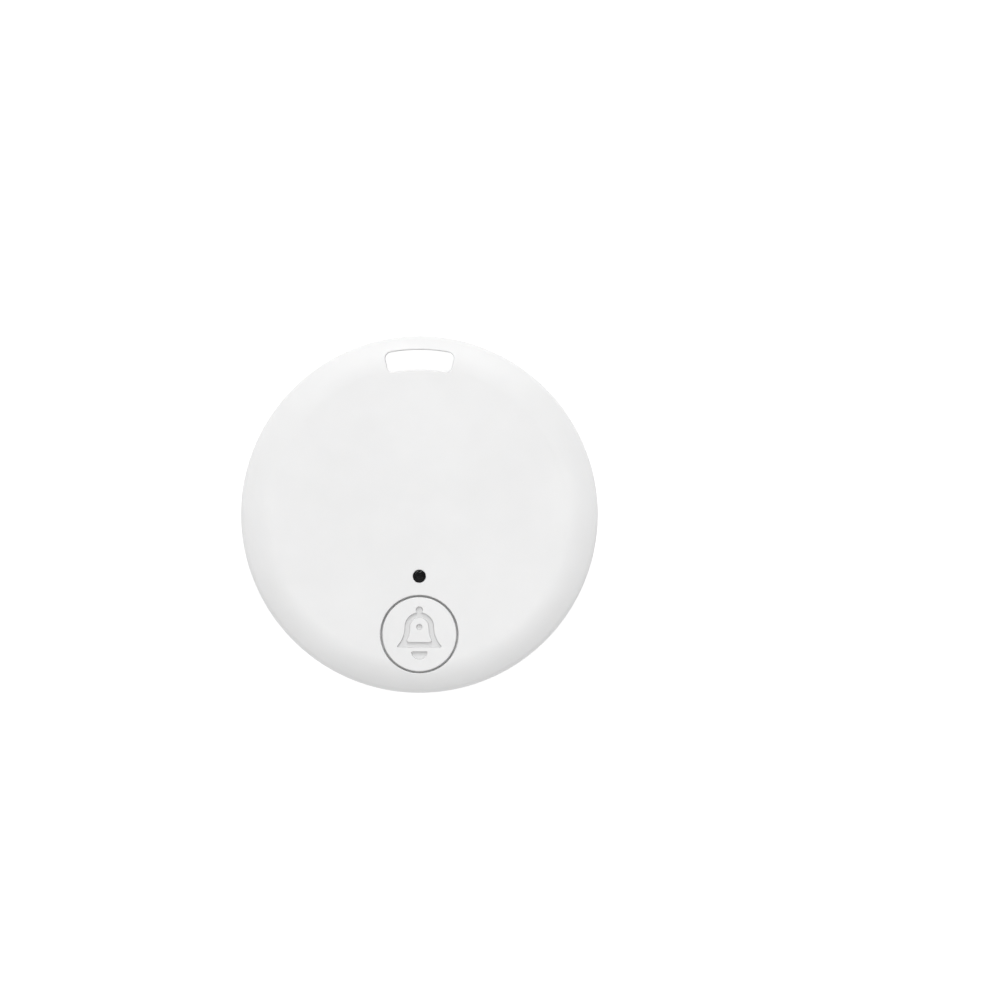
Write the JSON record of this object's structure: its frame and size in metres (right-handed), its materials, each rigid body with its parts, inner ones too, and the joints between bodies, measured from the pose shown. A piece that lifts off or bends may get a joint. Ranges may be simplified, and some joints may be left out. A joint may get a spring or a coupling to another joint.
{
  "type": "bluetooth tracker tag",
  "caption": "Round white tracker tag with a press button, a sound hole and a lanyard slot; the case unsnaps for its coin cell.",
  "frame": {"origin": "middle of the back face, which the tag lies on", "axes": "+Z out of the front face, +Y towards the lanyard slot, +X towards the pry notch's side"},
  "size_m": [0.037, 0.037, 0.005],
  "materials": {
    "shell_plastic": "fine matt moulded ABS, white",
    "cover_plastic": "fine matt moulded ABS, white",
    "button_plastic": "fine matt moulded ABS, white",
    "black_mesh": "fine woven mesh, black",
    "circuit_board": "green solder mask over glass fibre",
    "screw_steel": "plain machined steel",
    "cell_steel": "nickel-plated pressed steel",
    "cell_gasket": "dark nylon seal",
    "cell_chemistry": "pressed electrode stack",
    "liner_film": "thin polyester film, dark grey",
    "contact_plating": "gold-plated spring bronze",
    "black_moulding": "black glass-filled moulding",
    "tin_plating": "tin-plated sheet",
    "plunger_plastic": "dark grey moulding",
    "led_body": "white ceramic-filled moulding",
    "led_resin": "clear epoxy with pale phosphor",
    "magnet": "sintered magnet",
    "copper_wire": "enamelled copper wire",
    "chip_epoxy": "black moulding compound",
    "antenna_ceramic": "pale fired ceramic",
    "capacitor_ceramic": "tan fired ceramic with tinned ends",
    "resistor_film": "black film on ceramic with tinned ends",
    "inductor_ferrite": "blue-grey ferrite with tinned ends"
  },
  "bodies": {
    "rear": {"rear_cover": "cover_plastic", "cell_liner": "liner_film"},
    "front": {"front_shell": "shell_plastic", "sound_mesh": "black_mesh", "main_board": "circuit_board", "board_screws": "screw_steel", "negative_contact": "contact_plating", "positive_contact": "contact_plating", "switch_base": "black_moulding", "switch_terminals": "tin_plating", "switch_dome": "tin_plating", "switch_frame": "tin_plating", "led_base": "led_body", "led_lens": "led_resin", "buzzer_base": "black_moulding", "buzzer_case": "black_moulding", "buzzer_diaphragm": "tin_plating", "buzzer_magnet": "magnet", "buzzer_coil": "copper_wire", "buzzer_yoke": "tin_plating", "radio_chip": "chip_epoxy", "crystal": "tin_plating", "chip_antenna": "antenna_ceramic", "buzzer_driver": "chip_epoxy", "capacitors": "capacitor_ceramic", "resistors": "resistor_film", "inductors": "inductor_ferrite"},
    "cell": {"cell_can": "cell_steel", "cell_gasket": "cell_gasket", "cell_cap": "cell_steel", "cell_core": "cell_chemistry"},
    "button": {"button_cap": "button_plastic"},
    "plunger": {"switch_plunger": "plunger_plastic"}
  },
  "joints": [
    {"name": "case_open", "type": "slide", "parent": "rear", "child": "front", "axis": [0, 0, 1], "range_m": [0, 0.014]},
    {"name": "cell_lift", "type": "slide", "parent": "rear", "child": "cell", "axis": [0, 0, 1], "range_m": [0, 0.007]},
    {"name": "button_press", "type": "slide", "parent": "front", "child": "button", "axis": [0, 0, -1], "range_m": [0, 0.0002], "stiffness_N_per_m": 1500},
    {"name": "plunger_press", "type": "slide", "parent": "front", "child": "plunger", "axis": [0, 0, -1], "range_m": [0, 0.0002], "deforming": ["switch_dome"]}
  ],
  "couplings": [
    {"joint": "cell_lift", "follows": "case_open", "ratio": 0.5},
    {"joint": "plunger_press", "follows": "button_press", "ratio": 1}
  ]
}
